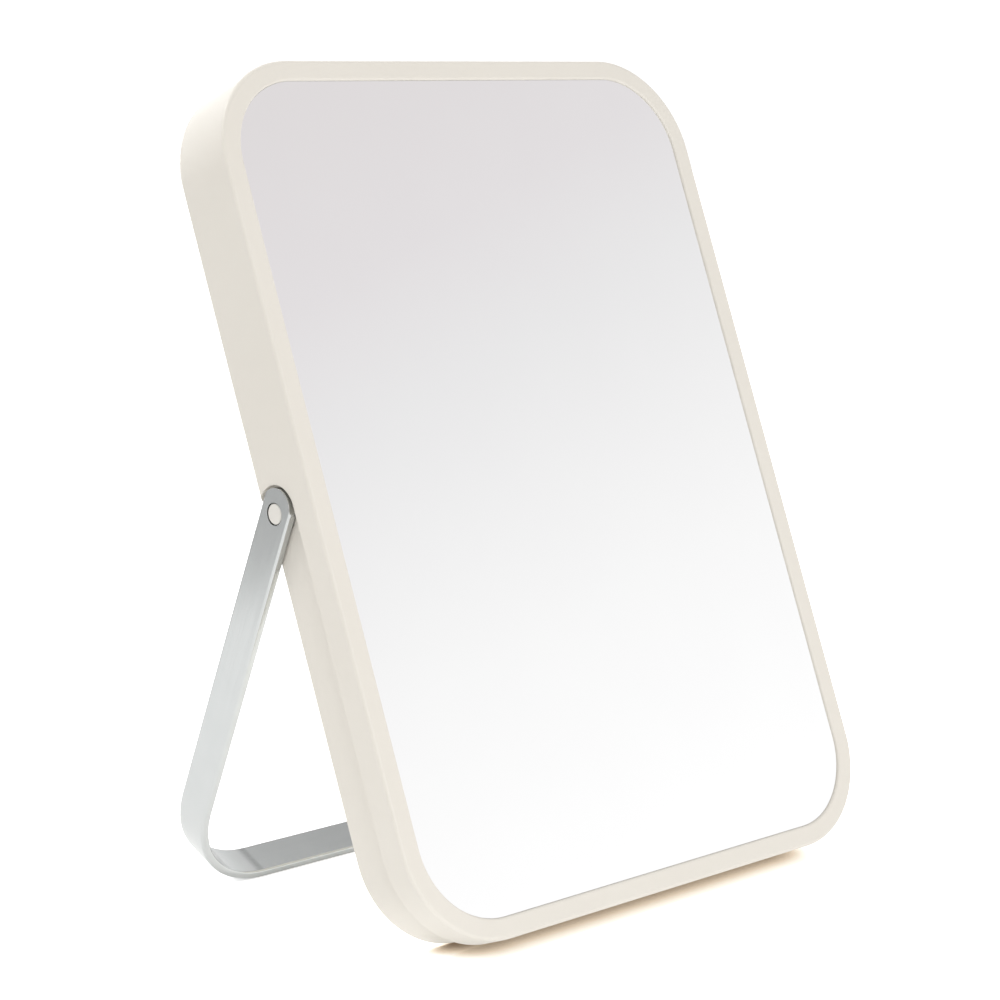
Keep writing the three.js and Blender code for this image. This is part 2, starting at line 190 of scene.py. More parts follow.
def skin(rings):
    """A closed mesh through rings of points, with a face across the first and the last."""
    bm = bmesh.new()
    loops = [[bm.verts.new(p) for p in ring] for ring in rings]
    count = len(loops[0])
    for near, far in zip(loops, loops[1:]):
        for i in range(count):
            j = (i + 1) % count
            bm.faces.new((near[i], near[j], far[j], far[i]))
    bm.faces.new(loops[0])
    bm.faces.new(loops[-1])
    bmesh.ops.recalc_face_normals(bm, faces=bm.faces)
    return bm


def together(parts):
    """Several closed meshes as one."""
    whole = bmesh.new()
    for part in parts:
        mesh = bpy.data.meshes.new("part")
        part.to_mesh(mesh)
        whole.from_mesh(mesh)
        bpy.data.meshes.remove(mesh)
        part.free()
    return whole


def solid(name, bm):
    """An object that holds a bmesh."""
    mesh = bpy.data.meshes.new(name)
    bm.to_mesh(mesh)
    bm.free()
    piece = bpy.data.objects.new(name, mesh)
    bpy.context.scene.collection.objects.link(piece)
    return piece


def mesh_of(piece):
    """The mesh of a helping solid, which is then removed."""
    bm = bmesh.new()
    bm.from_mesh(piece.data)
    bpy.data.objects.remove(piece)
    return bm


def settle(piece):
    """Applies the modifiers of a piece."""
    settled = bpy.data.meshes.new_from_object(piece.evaluated_get(bpy.context.evaluated_depsgraph_get()))
    settled.name = piece.name
    piece.modifiers.clear()
    piece.data = settled


def weld(piece):
    """Merges the points that a cut leaves almost in the same place."""
    bm = bmesh.new()
    bm.from_mesh(piece.data)
    bmesh.ops.remove_doubles(bm, verts=bm.verts, dist=WELD)
    bmesh.ops.dissolve_degenerate(bm, edges=bm.edges, dist=WELD)
    bm.to_mesh(piece.data)
    bm.free()


def combine(piece, operation, bm):
    """Joins a mesh to a piece or cuts it away."""
    other = solid("other", bm)
    modifier = piece.modifiers.new("combine", "BOOLEAN")
    modifier.operation = operation
    modifier.solver = "EXACT"
    modifier.object = other
    settle(piece)
    weld(piece)
    bpy.data.objects.remove(other)


def cut(piece, *bms):
    for bm in bms:
        combine(piece, "DIFFERENCE", bm)


def join(piece, *bms):
    for bm in bms:
        combine(piece, "UNION", bm)


def soften(piece, radius, segments=2, above=math.radians(40)):
    """Rounds a piece's sharp edges."""
    modifier = piece.modifiers.new("soften", "BEVEL")
    modifier.width = radius
    modifier.segments = segments
    modifier.limit_method = "ANGLE"
    modifier.angle_limit = above
    modifier.use_clamp_overlap = False
    settle(piece)


def shade(piece, sharp=math.radians(38)):
    """Smooth shading that keeps flat faces flat."""
    piece.data.shade_smooth()
    piece.data.set_sharp_from_angle(angle=sharp)
    modifier = piece.modifiers.new("shade", "WEIGHTED_NORMAL")
    modifier.keep_sharp = True
    settle(piece)


def finish_piece(piece, placing, body, material, replaced=()):
    """Moves a piece from millimetres to its place and hands it to the frame."""
    piece.data.transform(placing)
    piece.data.update()
    piece.data.materials.append(material)
    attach(piece, body)
    if replaced:
        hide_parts(*replaced)
    return piece


# ---- Outlines and turned shapes ------------------------------------------------------------------


def arc(centre, radius, start, end, steps):
    """Points from one angle to another, in degrees."""
    angles = [math.radians(start + (end - start) * i / steps) for i in range(steps + 1)]
    return [(centre[0] + radius * math.cos(a), centre[1] + radius * math.sin(a)) for a in angles]


def outline(inset):
    """The housing's outline (x, z), moved in by inset all round."""
    x, low, high = HALF_WIDTH - CORNER_RADIUS, CORNER_RADIUS, HEIGHT - CORNER_RADIUS
    corners = [((x, low), -90), ((x, high), 0), ((-x, high), 90), ((-x, low), 180)]
    return [
        point
        for centre, start in corners
        for point in arc(centre, CORNER_RADIUS - inset, start, start + 90, CORNER_STEPS)
    ]


def slab(inset, front, back, front_radius=0.0, rear_radius=0.0):
    """A block with the housing's outline, from one depth to another, with round front and rear edges."""
    ends = [(front, inset), (back, inset)]
    if front_radius:
        rounded = arc((front + front_radius, inset + front_radius), front_radius, 180, 270, EDGE_STEPS)
        ends[0:1] = [(y, i) for y, i in rounded]
    if rear_radius:
        rounded = arc((back - rear_radius, inset + rear_radius), rear_radius, 270, 360, EDGE_STEPS)
        ends[-1:] = [(y, i) for y, i in rounded]
    return skin([[(x, y, z) for x, z in outline(i)] for y, i in ends])


def alongX(points, x0, x1):
    """A block with an outline of (y, z) points."""
    return skin([[(x, y, z) for y, z in points] for x in (x0, x1)])


def box(x0, x1, y0, y1, z0, z1):
    return alongX([(y0, z0), (y1, z0), (y1, z1), (y0, z1)], x0, x1)


def turned(profile, place, steps=ROUND_STEPS):
    """A turned shape from (distance, radius) pairs. place gives the point for (distance, u, v)."""
    return skin([
        [place(along, u, v) for u, v in arc((0, 0), radius, 0, 360, steps)[:-1]]
        for along, radius in profile
    ])


def turnedAlongY(profile, x, z, steps=ROUND_STEPS):
    return turned(profile, lambda along, u, v: (x + u, along, z + v), steps)


def turnedOnPivot(side, profile, steps=ROUND_STEPS):
    return turned(profile, lambda along, u, v: (side * along, u, v), steps)


def onHousing(bm):
    """Moves a shape that is drawn round the pivot to the pivot's place in the housing."""
    bm.transform(at_pivot)
    return bm


def screw_places():
    """Centres (x, z) of the six screws."""
    reach = (CORNER_RADIUS - SCREW_INSET) * math.sqrt(0.5)
    x, z = HALF_WIDTH - CORNER_RADIUS + reach, CORNER_RADIUS - reach
    return [(-x, z), (0, SCREW_INSET), (x, z), (-x, HEIGHT - z), (0, HEIGHT - SCREW_INSET), (x, HEIGHT - z)]


# ---- Materials -----------------------------------------------------------------------------------


class Graph:
    """Adds nodes to a node tree and links them."""

    def __init__(self, tree):
        self.tree = tree
        self.tree.nodes.clear()

    def add(self, kind, inputs=None, **settings):
        node = self.tree.nodes.new(kind)
        for key, value in settings.items():
            setattr(node, key, value)
        for key, value in (inputs or {}).items():
            if isinstance(value, bpy.types.NodeSocket):
                self.tree.links.new(value, node.inputs[key])
            else:
                node.inputs[key].default_value = value
        return node

    def noise(self, vector, scale, detail=3.0, roughness=0.55):
        inputs = {"Vector": vector, "Scale": scale, "Detail": detail, "Roughness": roughness}
        return self.add("ShaderNodeTexNoise", inputs).outputs["Fac"]

    def spread(self, value, low, high, from_low=0.3, from_high=0.7):
        """Maps one range, by default the usual one of a noise, to another."""
        inputs = {"Value": value, "From Min": from_low, "From Max": from_high, "To Min": low, "To Max": high}
        return self.add("ShaderNodeMapRange", inputs).outputs["Result"]

    def blend(self, factor, first, second):
        """Mixes two colours, each a triple or another node's output."""
        node = self.add("ShaderNodeMix", data_type="RGBA")
        for socket, value in zip([s for s in node.inputs if s.enabled], (factor, first, second)):
            if isinstance(value, bpy.types.NodeSocket):
                self.tree.links.new(value, socket)
            else:
                socket.default_value = (*value, 1.0)
        return next(s for s in node.outputs if s.enabled)

    def stretched(self, vector, scale):
        return self.add("ShaderNodeVectorMath", {0: vector, 1: scale}, operation="MULTIPLY").outputs[0]

    def bump(self, height, distance, strength, normal=None):
        inputs = {"Height": height, "Distance": distance, "Strength": strength}
        if normal:
            inputs["Normal"] = normal
        return self.add("ShaderNodeBump", inputs).outputs["Normal"]


def new_material(name, build):
    """A material whose graph is made by build(graph), which returns the inputs of its Principled shader."""
    material = bpy.data.materials.new(name)
    material.use_nodes = True
    graph = Graph(material.node_tree)
    shader = graph.add("ShaderNodeBsdfPrincipled", build(graph))
    graph.add("ShaderNodeOutputMaterial", {"Surface": shader.outputs["BSDF"]})
    return material


def moulded_plastic(name, light, dark, roughness, grain_scale, grain_height):
    """Satin moulded plastic: a fine even texture, slight clouding, and faint rubbed patches."""

    def build(g):
        place = g.add("ShaderNodeTexCoord").outputs["Object"]
        clouds = g.spread(g.noise(place, 18.0), 0.0, 1.0)
        rubbed = g.spread(g.noise(place, 55.0, detail=5.0), roughness - 0.05, roughness + 0.06)
        waves = g.bump(g.noise(place, 45.0, detail=1.0), 0.0006, 0.08)
        grain = g.bump(g.noise(place, grain_scale, detail=2.0), grain_height, 0.35, waves)
        return {
            "Base Color": g.blend(clouds, light, dark),
            "Roughness": rubbed,
            "Normal": grain,
            "IOR": 1.49,
        }

    return new_material(name, build)


def brushed_steel():
    """Satin flat steel, brushed along its length."""

    def build(g):
        grain = g.add("ShaderNodeAttribute", attribute_name="grain").outputs["Vector"]
        place = g.add("ShaderNodeTexCoord").outputs["Object"]
        fine = g.noise(g.stretched(grain, (60.0, 9000.0, 9000.0)), 1.0, detail=4.0)
        broad = g.noise(g.stretched(grain, (14.0, 900.0, 900.0)), 1.0, detail=2.0)
        clouds = g.noise(place, 70.0, detail=3.0)
        streaks = g.add("ShaderNodeMath", {0: fine, 1: broad}, operation="MULTIPLY").outputs[0]
        return {
            "Base Color": g.blend(g.spread(clouds, 0.0, 1.0), (0.57, 0.587, 0.582), (0.60, 0.615, 0.61)),
            "Metallic": 1.0,
            "Roughness": g.spread(streaks, 0.13, 0.22, 0.12, 0.42),
            "Normal": g.bump(fine, 0.00002, 0.25, g.bump(broad, 0.00008, 0.10)),
        }

    return new_material("satin_steel", build)


def zinc_steel():
    """Bright zinc plating with the mottling of a barrel-plated screw."""

    def build(g):
        place = g.add("ShaderNodeTexCoord").outputs["Object"]
        mottle = g.noise(place, 900.0, detail=4.0)
        return {
            "Base Color": g.blend(g.spread(mottle, 0.0, 1.0), (0.56, 0.58, 0.60), (0.68, 0.67, 0.64)),
            "Metallic": 1.0,
            "Roughness": g.spread(mottle, 0.24, 0.42),
            "Normal": g.bump(g.noise(place, 4000.0), 0.00001, 0.3),
        }

    return new_material("zinc_steel", build)


def mirror_silver():
    """Silver seen through plate glass, with a faint haze from handling."""

    def build(g):
        place = g.add("ShaderNodeTexCoord").outputs["Object"]
        haze = g.noise(place, 30.0, detail=4.0)
        return {
            "Base Color": g.blend(g.spread(haze, 0.0, 1.0), (0.948, 0.946, 0.948), (0.956, 0.956, 0.956)),
            "Metallic": 1.0,
            "Roughness": g.spread(haze, 0.0, 0.012),
            "Normal": g.bump(g.noise(place, 12.0, detail=1.0), 0.0001, 0.01),
        }

    return new_material("mirror_silver", build)


def plain_sheet(name, light, dark, roughness, scale, height, metallic=0.0):
    """A matt sheet material with an even texture of one scale."""

    def build(g):
        place = g.add("ShaderNodeTexCoord").outputs["Object"]
        mottle = g.noise(place, scale / 8)
        return {
            "Base Color": g.blend(g.spread(mottle, 0.0, 1.0), light, dark),
            "Metallic": metallic,
            "Roughness": g.spread(mottle, roughness - 0.06, roughness + 0.06),
            "Normal": g.bump(g.noise(place, scale), height, 0.4),
        }

    return new_material(name, build)


cream = moulded_plastic(
    "cream_plastic", (0.721, 0.686, 0.621), (0.708, 0.672, 0.606), 0.42, 2600.0, 0.00002,
)
cream_panel = moulded_plastic(
    "panel_plastic", (0.705, 0.677, 0.608), (0.690, 0.662, 0.592), 0.52, 1500.0, 0.00005,
)
cream_pin = moulded_plastic(
    "pin_plastic", (0.715, 0.692, 0.640), (0.705, 0.680, 0.628), 0.36, 3200.0, 0.00001,
)
steel = brushed_steel()
zinc = zinc_steel()
silver = mirror_silver()
ground_glass = plain_sheet("ground_glass", (0.62, 0.72, 0.68), (0.56, 0.67, 0.63), 0.45, 4000.0, 0.00001)
backing_paint = plain_sheet("backing_paint", (0.30, 0.33, 0.34), (0.27, 0.30, 0.31), 0.55, 900.0, 0.00003)
film = plain_sheet("splinter_film", (0.27, 0.29, 0.31), (0.24, 0.26, 0.28), 0.62, 2500.0, 0.00002)
foam = plain_sheet("foam_tape", (0.88, 0.87, 0.82), (0.82, 0.81, 0.76), 0.88, 1800.0, 0.0001)
nylon = plain_sheet("nylon", (0.86, 0.85, 0.80), (0.82, 0.81, 0.76), 0.48, 3000.0, 0.00002)

# ---- Housing -------------------------------------------------------------------------------------


def recess_side_view():
    """Side view (y, z) of the space that the strap folds into, which ends in an arc round the pivot."""
    back = DEPTH + OVERSHOOT
    end = math.degrees(math.acos((DEPTH - PIVOT_DEPTH) / RECESS_END_RADIUS))
    round_end = arc((PIVOT_DEPTH, PIVOT_HEIGHT), RECESS_END_RADIUS, end, 180, ROUND_STEPS // 2)
    return [(back, -OVERSHOOT), (back, round_end[0][1]), *round_end, (LIP_DEPTH, -OVERSHOOT)]


def glass_opening():
    """The opening that the glass lies in, with a rounded edge along the border."""
    radius = BORDER_EDGE_RADIUS
    rounded = arc((radius, BORDER_WIDTH - radius), radius, 180, 90, EDGE_STEPS)
    ends = [(-OVERSHOOT, BORDER_WIDTH - radius), *rounded, (SHELF_FRONT, BORDER_WIDTH)]
    return skin([[(x, y, z) for x, z in outline(i)] for y, i in ends])


def make_shell():
    """The housing: lip, side walls with the strap's recess, glass shelf, screw bosses and pivot bosses."""
    behind_shelf = SHELF_BACK - GAP
    before_panel = PANEL_FRONT - GAP
    recess = solid("recess", alongX(recess_side_view(), -HALF_WIDTH - OVERSHOOT, HALF_WIDTH + OVERSHOOT))
    cut(recess, slab(RECESS_DEPTH, -OVERSHOOT, DEPTH, rear_radius=RECESS_EDGE_RADIUS))
    shell = solid("housing_shell", slab(0, 0, DEPTH, FRONT_EDGE_RADIUS, REAR_EDGE_RADIUS))
    cut(shell, mesh_of(recess))
    cut(
        shell,
        glass_opening(),
        slab(BORDER_WIDTH + SHELF_WIDTH, -OVERSHOOT, DEPTH + OVERSHOOT),
        slab(CAVITY_INSET, SHELF_BACK, DEPTH + OVERSHOOT),
    )
    join(shell, together([
        turnedAlongY([(behind_shelf, BOSS_RADIUS), (before_panel, BOSS_RADIUS)], x, z)
        for x, z in screw_places()
    ]))
    for side in (-1, 1):
        boss = solid("pivot_boss", onHousing(turnedOnPivot(
            side, [(PIVOT_BOSS_X, PIVOT_BOSS_RADIUS), (RECESS_FLOOR_X - GAP, PIVOT_BOSS_RADIUS)],
        )))
        cut(boss, box(-WIDTH, WIDTH, before_panel, DEPTH + OVERSHOOT, 0, HEIGHT))
        join(shell, mesh_of(boss))
    bore = SCREW_SHANK_RADIUS + GAP
    cut(shell, together([
        turnedAlongY([(2 * SHELF_BACK - SHELF_FRONT, bore), (DEPTH, bore)], x, z, ROUND_STEPS // 2)
        for x, z in screw_places()
    ]))
    cut(shell, together([
        onHousing(turnedOnPivot(side, [
            (PIVOT_BOSS_X - GAP, PIVOT_BORE_RADIUS),
            (WASHER_SEAT_X, PIVOT_BORE_RADIUS),
            (WASHER_SEAT_X, WASHER_RADIUS + GAP),
            (HALF_WIDTH, WASHER_RADIUS + GAP),
        ]))
        for side in (-1, 1)
    ]))
    soften(shell, SHELL_SOFTENING)
    shade(shell)
    return shell


def make_pane():
    """The mirror glass: silvered face, ground edges (material 1) and painted back (material 2)."""
    pane = solid("mirror_pane", slab(BORDER_WIDTH + PANE_CLEARANCE, GLASS_SETBACK, GLASS_BACK))
    soften(pane, PANE_SOFTENING, segments=1)
    for face in pane.data.polygons:
        forward = -face.normal.y
        face.material_index = 0 if forward > 0.5 else 2 if forward < -0.99 else 1
    shade(pane, sharp=math.radians(20))
    return pane


def screw_profile(clearance):
    """A countersunk screw's outside as (y, radius) pairs from its tip to its head."""
    shank = SCREW_SHANK_RADIUS + clearance
    return [
        (PANEL_BACK - SCREW_LENGTH, shank),
        (PANEL_BACK - SCREW_HEAD_HEIGHT, shank),
        (PANEL_BACK + clearance, SCREW_HEAD_RADIUS + 2 * clearance),
    ]


def make_panel():
    """The back panel: a plate with stiffening ribs inside and six countersunk holes."""
    half = RIB_THICKNESS / 2
    rib_front = PANEL_FRONT - RIB_DEPTH
    reach = HALF_WIDTH - RIB_MARGIN
    panel = solid("back_plate", slab(CAVITY_INSET + GAP, PANEL_FRONT, PANEL_BACK))
    join(panel, *[
        box(x - half, x + half, rib_front, PANEL_BACK - GAP, RIB_MARGIN, HEIGHT - RIB_MARGIN) for x in RIB_X
    ])
    join(panel, *[box(-reach, reach, rib_front, PANEL_BACK - GAP, z - half, z + half) for z in RIB_Z])
    cut(panel, together([turnedAlongY(screw_profile(GAP), x, z) for x, z in screw_places()]))
    soften(panel, PANEL_SOFTENING)
    shade(panel)
    return panel


def threaded_screw():
    """A countersunk screw with a cutting thread and a tapered cross recess, drawn on the y axis."""
    tip = PANEL_BACK - SCREW_LENGTH
    thread_end = PANEL_BACK - SCREW_HEAD_HEIGHT - THREAD_BELOW_HEAD
    core = SCREW_SHANK_RADIUS - THREAD_DEPTH
    sides = THREAD_SIDES
    rings = []
    for row in range(THREAD_ROWS + 1):
        y = tip + (thread_end - tip) * row / THREAD_ROWS
        fade = min(1.0, (y - tip) / THREAD_START, (thread_end - y) / THREAD_RUN_OUT)
        ring = []
        for i in range(sides):
            phase = ((y - tip) / THREAD_PITCH - i / sides) % 1.0
            crest = max(0.0, 1.0 - abs(phase - 0.5) / THREAD_CREST)
            taper = TIP_SHARE + (1.0 - TIP_SHARE) * min(1.0, (y - tip) / TIP_LENGTH)
            radius = (core + THREAD_DEPTH * crest * max(0.0, fade)) * taper
            angle = 2 * math.pi * i / sides
            ring.append((radius * math.cos(angle), y, radius * math.sin(angle)))
        rings.append(ring)
    rim = SCREW_RIM
    head = [
        (thread_end + 0.1, core),
        (PANEL_BACK - SCREW_HEAD_HEIGHT, core),
        (PANEL_BACK - rim * 1.6, SCREW_HEAD_RADIUS - rim * 0.8),
        (PANEL_BACK - rim * 0.8, SCREW_HEAD_RADIUS - rim * 0.1),
        (PANEL_BACK - rim * 0.2, SCREW_HEAD_RADIUS - rim * 0.4),
        (PANEL_BACK, SCREW_HEAD_RADIUS - rim * 1.4),
    ]
    for y, radius in head:
        rings.append([(x, y, z) for x, z in arc((0, 0), radius, 0, 360, sides)[:-1]])
    screw = solid("screw", skin(rings))
    slots = []
    for long, short in ((CROSS_LENGTH / 2, CROSS_WIDTH / 2), (CROSS_WIDTH / 2, CROSS_LENGTH / 2)):
        slots.append(skin([
            [(sx * long * share, y, sz * short * share) for sx, sz in ((-1, -1), (1, -1), (1, 1), (-1, 1))]
            for y, share in ((PANEL_BACK - CROSS_DEPTH, 0.62), (PANEL_BACK + CROSS_DEPTH, 1.38))
        ]))
    cut(screw, *slots)
    soften(screw, SCREW_SOFTENING, segments=1, above=math.radians(50))
    shade(screw)
    return screw


# ---- Strap and pivot pins ------------------------------------------------------------------------


def strap_path():
    """Points (x, z) of the strap's outer face and of its inner face, from one leg's top to the other's."""
    corner_x = STRAP_INNER_X - STRAP_INNER_RADIUS
    corner_z = STRAP_OUTER_RADIUS - PIVOT_TO_BOTTOM
    top = OVERSHOOT / 2
    faces = []
    for x, radius in ((STRAP_OUTER_X, STRAP_OUTER_RADIUS), (STRAP_INNER_X, STRAP_INNER_RADIUS)):
        left_bend = arc((-corner_x, corner_z), radius, 180, 270, CORNER_STEPS)
        right_bend = arc((corner_x, corner_z), radius, -90, 0, CORNER_STEPS)
        faces.append([(-x, top), *left_bend, *right_bend, (x, top)])
    return faces


def along_strap(x, z):
    """How far a point lies along the strap from the middle of its bar, and from its inner face."""
    corner_x = STRAP_INNER_X - STRAP_INNER_RADIUS
    corner_z = STRAP_OUTER_RADIUS - PIVOT_TO_BOTTOM
    middle_radius = (STRAP_INNER_RADIUS + STRAP_OUTER_RADIUS) / 2
    side = 1 if x >= 0 else -1
    dx, dz = abs(x) - corner_x, corner_z - z
    if dx <= 0:
        return side * abs(x), dz - STRAP_INNER_RADIUS
    bend = corner_x + middle_radius * math.pi / 2
    if dz <= 0:
        return side * (bend - dz), dx - STRAP_INNER_RADIUS
    return side * (corner_x + middle_radius * math.atan2(dx, dz)), math.hypot(dx, dz) - STRAP_INNER_RADIUS


def make_strap():
    """The U-shaped strap: steel with rounded long edges, cut round ends and a hole in each leg."""
    outer, inner = strap_path()
    strap = solid("strap_band", skin([
        [(xo, -HALF_STRAP, zo), (xo, HALF_STRAP, zo), (xi, HALF_STRAP, zi), (xi, -HALF_STRAP, zi)]
        for (xo, zo), (xi, zi) in zip(outer, inner)
    ]))
    soften(strap, STRAP_EDGE_RADIUS, segments=4)
    wide = HALF_STRAP + OVERSHOOT
    round_end = arc((0, HEAD_OFFSET), HALF_STRAP, 180, 0, ROUND_STEPS // 2)
    above = [(-wide, HEAD_OFFSET), *round_end, (wide, HEAD_OFFSET), (wide, OVERSHOOT), (-wide, OVERSHOOT)]
    cut(strap, alongX(above, -HALF_WIDTH - OVERSHOOT, HALF_WIDTH + OVERSHOOT))
    cut(strap, together([
        turnedOnPivot(side, [
            (PIN_TAIL_X, PIVOT_BORE_RADIUS),
            (PIN_HEAD_X - COUNTERSINK_DEPTH, PIVOT_BORE_RADIUS),
            (PIN_HEAD_X - HOLE_RIM_DEPTH, PIN_HEAD_RADIUS + GAP),
            (PIN_HEAD_X + GAP, PIN_HEAD_RADIUS + GAP),
        ])
        for side in (-1, 1)
    ]))
    soften(strap, STRAP_SOFTENING)
    shade(strap)
    grain = strap.data.attributes.new("grain", "FLOAT_VECTOR", "POINT")
    for vertex, item in zip(strap.data.vertices, grain.data):
        x, y, z = vertex.co
        along, depth = along_strap(x, z)
        item.vector = (along * MM, y * MM, depth * MM)
    return strap


def make_pin(side, name):
    """A pivot pin: a flat countersunk head with a rounded rim, and a groove for its retaining ring."""
    centre = (PIN_HEAD_X - PIN_RIM, PIN_HEAD_RADIUS - PIN_RIM)
    rim = arc(centre, PIN_RIM, -20, 90, EDGE_STEPS)
    profile = [
        (PIN_TAIL_X, PIN_SHANK_RADIUS - PIN_TAIL_CHAMFER),
        (PIN_TAIL_X + PIN_TAIL_CHAMFER, PIN_SHANK_RADIUS),
        (GROOVE_INNER_X, PIN_SHANK_RADIUS),
        (GROOVE_INNER_X, GROOVE_RADIUS),
        (PIVOT_BOSS_X, GROOVE_RADIUS),
        (PIVOT_BOSS_X, PIN_SHANK_RADIUS),
        (PIN_HEAD_X - COUNTERSINK_DEPTH, PIN_SHANK_RADIUS),
        *reversed(rim),
        (PIN_HEAD_X, PIN_HEAD_RADIUS - PIN_FLAT_INSET),
    ]
    pin = solid(name, turnedOnPivot(side, profile))
    shade(pin)
    return pin


# ---- Building all the pieces ---------------------------------------------------------------------

finish_piece(make_shell(), leant_back, "housing", cream, ["frame"])
pane = finish_piece(make_pane(), leant_back, "housing", silver, ["mirror_glass"])
pane.data.materials.append(ground_glass)
pane.data.materials.append(backing_paint)
finish_piece(make_panel(), leant_back, "housing", cream_panel, ["back_panel"])

template = threaded_screw()
for number, (x, z) in enumerate(screw_places(), start=1):
    turned_head = Matrix.Rotation(SCREW_TURN * number, 4, "Y")
    placing = leant_back @ Matrix.Translation((x, 0, z)) @ turned_head
    screw = bpy.data.objects.new(f"screw_{number}", template.data.copy())
    bpy.context.scene.collection.objects.link(screw)
    finish_piece(screw, placing, "housing", zinc, [f"panel_screw_{number}"])
bpy.data.objects.remove(template)

for side, word in ((-1, "left"), (1, "right")):
    pin = make_pin(side, f"pin_{word}")
    finish_piece(pin, leant_back @ at_pivot, "housing", cream_pin, [f"pivot_pin_{word}"])

finish_piece(make_strap(), swung_back, "stand", steel, ["stand_strap"])

for node, material in [
    ("safety_film", film),
    *[(f"tape_strip_{word}", foam) for word in ("top", "bottom", "left", "right")],
    *[(f"friction_washer_{word}", nylon) for word in ("left", "right")],
    *[(f"retaining_ring_{word}", zinc) for word in ("left", "right")],
]:
    frame["nodes"][node].data.materials.clear()
    frame["nodes"][node].data.materials.append(material)

# ---- Floor, light and camera ---------------------------------------------------------------------

# From here on, places and lengths are in metres.

FLOOR_HALF = 6.0

# The floor as the camera sees it: burnt out, but for a thin painted shade round whatever stands on it, which is
# orange-brown in front and turns grey behind. The shade is mostly colour picked by an ambient occlusion node, on
# top of some real cast shadow in the floor's diffuse part.
SHADE_REACH = 0.0068
SHADE_TURNS = (-0.02, 0.02)
SEEN_GLOW = 0.55

# The floor as the object sees it: a painted pool of light, given off as emission, that lights the object and shows
# in its reflections. Behind the object it is bright up to POOL_EDGE from the middle and up to POOL_SIDE_EDGE
# towards POOL_SIDE. In front it fades slowly, with a painted glow round one place.
NEAR_FLOOR = 0.84
FAR_FLOOR_BEHIND = 0.46
FAR_FLOOR_IN_FRONT = 0.60
POOL_EDGE = (0.56, 0.582)
POOL_SIDE = (0.8, 0.6, 0.0)
POOL_SIDE_EDGE = (0.06, 0.13)
FRONT_FADE = (0.25, 1.6)
FLOOR_TURNS = (-0.05, 0.05)
LIT_GLOW = 0.2
FRONT_GLOW = 0.5
FRONT_GLOW_PLACE = (0.03, -0.15, 0.0)
FRONT_GLOW_REACH = (0.05, 0.26)

# The studio's light by direction: where the mirror looks, a bright screen behind, and the far side
# that the strap's cross bar mirrors.
MIRROR_LOOKS = (0.72, -0.69, 0.0)
MIRROR_SECTOR = (0.2, 0.6)
BACKDROP = (0.15, 0.93, 0.33)
BACKDROP_SECTOR = (0.72, 0.92)
BACKLIGHT = 1.9
FAR_SIDE = (0.76, 0.52, 0.38)
FAR_SIDE_SECTOR = (0.79, 0.87)
SEEN_SKY = 1.1


def grey(level):
    return (level, level, level)


def ramp(g, factor, stops):
    """Colours from (position, colour) pairs."""
    node = g.add("ShaderNodeValToRGB", {"Fac": factor})
    elements = node.color_ramp.elements
    for _ in range(len(stops) - len(elements)):
        elements.new(0.5)
    for element, (position, color) in zip(elements, stops):
        element.position = position
        element.color = (*color, 1.0)
    return node.outputs["Color"]


def seen_floor(g, depth):
    """The floor as the camera sees it, with a painted shade round what stands on it."""
    open_sky = g.add("ShaderNodeAmbientOcclusion", {"Distance": SHADE_REACH}, samples=16).outputs["AO"]
    # Painted shade: the ambient occlusion value picks colours from dark orange-brown to white right round the
    # object, and from grey to white behind it.
    warm_painted_shade = ramp(g, open_sky, [
        (0.10, (0.18, 0.130, 0.090)),
        (0.30, (0.66, 0.555, 0.435)),
        (0.48, (0.89, 0.870, 0.820)),
        (0.60, grey(1.0)),
    ])
    grey_painted_shade = ramp(g, open_sky, [(0.06, grey(0.45)), (0.36, grey(1.0))])
    color = g.blend(g.spread(depth, 0.0, 1.0, *SHADE_TURNS), warm_painted_shade, grey_painted_shade)
    diffuse = g.add("ShaderNodeBsdfDiffuse", {"Color": color}).outputs[0]
    # The floor glows in the painted shade's colours, so the shade is painted into its emission as well.
    glow = g.add("ShaderNodeEmission", {"Color": color, "Strength": SEEN_GLOW}).outputs[0]
    return g.add("ShaderNodeAddShader", {0: diffuse, 1: glow}).outputs[0]


def lit_floor(g, place, depth):
    """The floor as the object sees it: a painted pool of light and a painted glow, which light the object."""
    distance = g.add("ShaderNodeVectorMath", {0: place}, operation="LENGTH").outputs["Value"]
    sideways = g.add("ShaderNodeVectorMath", {0: place, 1: POOL_SIDE}, operation="DOT_PRODUCT")
    beyond = g.spread(distance, 0.0, 1.0, *POOL_EDGE)
    beside = g.spread(sideways.outputs["Value"], 0.0, 1.0, *POOL_SIDE_EDGE)
    outside = g.add("ShaderNodeMath", {0: beyond, 1: beside}, operation="MAXIMUM").outputs[0]
    # Painted pool of light: bright near the object, darker beyond its edges.
    behind = g.blend(outside, grey(NEAR_FLOOR), grey(FAR_FLOOR_BEHIND))
    fade = g.spread(distance, 0.0, 1.0, *FRONT_FADE)
    in_front = g.blend(fade, grey(NEAR_FLOOR), grey(FAR_FLOOR_IN_FRONT))
    color = g.blend(g.spread(depth, 0.0, 1.0, *FLOOR_TURNS), in_front, behind)
    # Painted glow: the floor's emission is strongest round FRONT_GLOW_PLACE.
    from_glow = g.add("ShaderNodeVectorMath", {0: place, 1: FRONT_GLOW_PLACE}, operation="DISTANCE")
    strength = g.spread(from_glow.outputs["Value"], FRONT_GLOW, LIT_GLOW, *FRONT_GLOW_REACH)
    diffuse = g.add("ShaderNodeBsdfDiffuse", {"Color": color}).outputs[0]
    glow = g.add("ShaderNodeEmission", {"Color": color, "Strength": strength}).outputs[0]
    return g.add("ShaderNodeAddShader", {0: diffuse, 1: glow}).outputs[0]


